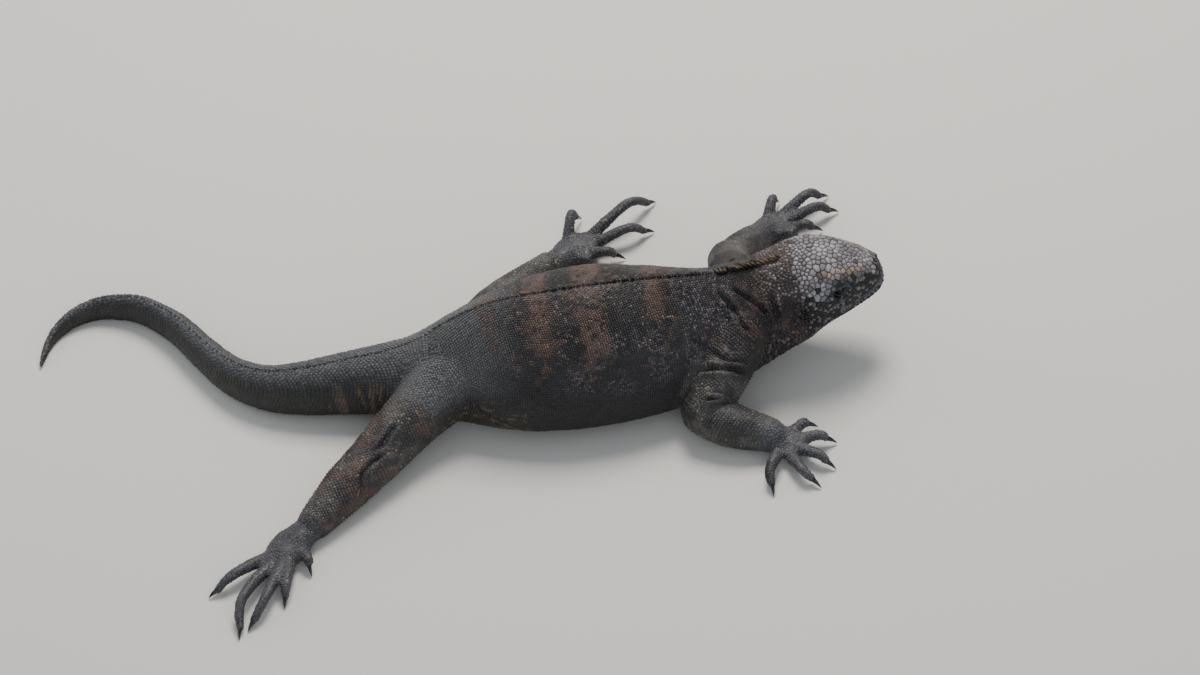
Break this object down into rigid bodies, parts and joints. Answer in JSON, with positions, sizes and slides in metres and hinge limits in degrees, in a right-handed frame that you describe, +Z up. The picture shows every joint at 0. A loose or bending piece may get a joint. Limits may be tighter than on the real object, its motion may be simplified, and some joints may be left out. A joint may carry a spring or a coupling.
{
  "type": "marine iguana",
  "caption": "Life-size still model of a marine iguana lying stretched out on its belly, with a blunt plated head, low crest, long clawed digits and a flat curved tail.",
  "frame": {"origin": "on the floor, below the middle of the model's box", "axes": "+X towards the snout, +Y to the animal's left, +Z up"},
  "size_m": [0.514, 0.3073, 0.0805],
  "materials": {
    "scaled_hide": "matt scaled hide",
    "head_plates": "matt horny plates with salt",
    "limb_hide": "matt scaled hide",
    "claw_horn": "polished horn",
    "wet_eye": "wet and glossy"
  },
  "bodies": {
    "root": {"claw_foot_left_fifth": "claw_horn", "claw_foot_left_first": "claw_horn", "claw_foot_left_fourth": "claw_horn", "claw_foot_left_second": "claw_horn", "claw_foot_left_third": "claw_horn", "claw_foot_right_fifth": "claw_horn", "claw_foot_right_first": "claw_horn", "claw_foot_right_fourth": "claw_horn", "claw_foot_right_second": "claw_horn", "claw_foot_right_third": "claw_horn", "claw_hand_left_fifth": "claw_horn", "claw_hand_left_first": "claw_horn", "claw_hand_left_fourth": "claw_horn", "claw_hand_left_second": "claw_horn", "claw_hand_left_third": "claw_horn", "claw_hand_right_fifth": "claw_horn", "claw_hand_right_first": "claw_horn", "claw_hand_right_fourth": "claw_horn", "claw_hand_right_second": "claw_horn", "claw_hand_right_third": "claw_horn", "eye_left": "wet_eye", "eye_right": "wet_eye", "foot_left": "limb_hide", "foot_right": "limb_hide", "forearm_left": "limb_hide", "forearm_right": "limb_hide", "hand_left": "limb_hide", "hand_right": "limb_hide", "head": "head_plates", "neck": "scaled_hide", "shin_left": "limb_hide", "shin_right": "limb_hide", "tail_base": "scaled_hide", "tail_front": "scaled_hide", "tail_middle": "scaled_hide", "tail_rear": "scaled_hide", "tail_tip": "scaled_hide", "thigh_left": "limb_hide", "thigh_right": "limb_hide", "torso_front": "scaled_hide", "torso_middle": "scaled_hide", "torso_rear": "scaled_hide", "upper_arm_left": "limb_hide", "upper_arm_right": "limb_hide"}
  },
  "joints": []
}
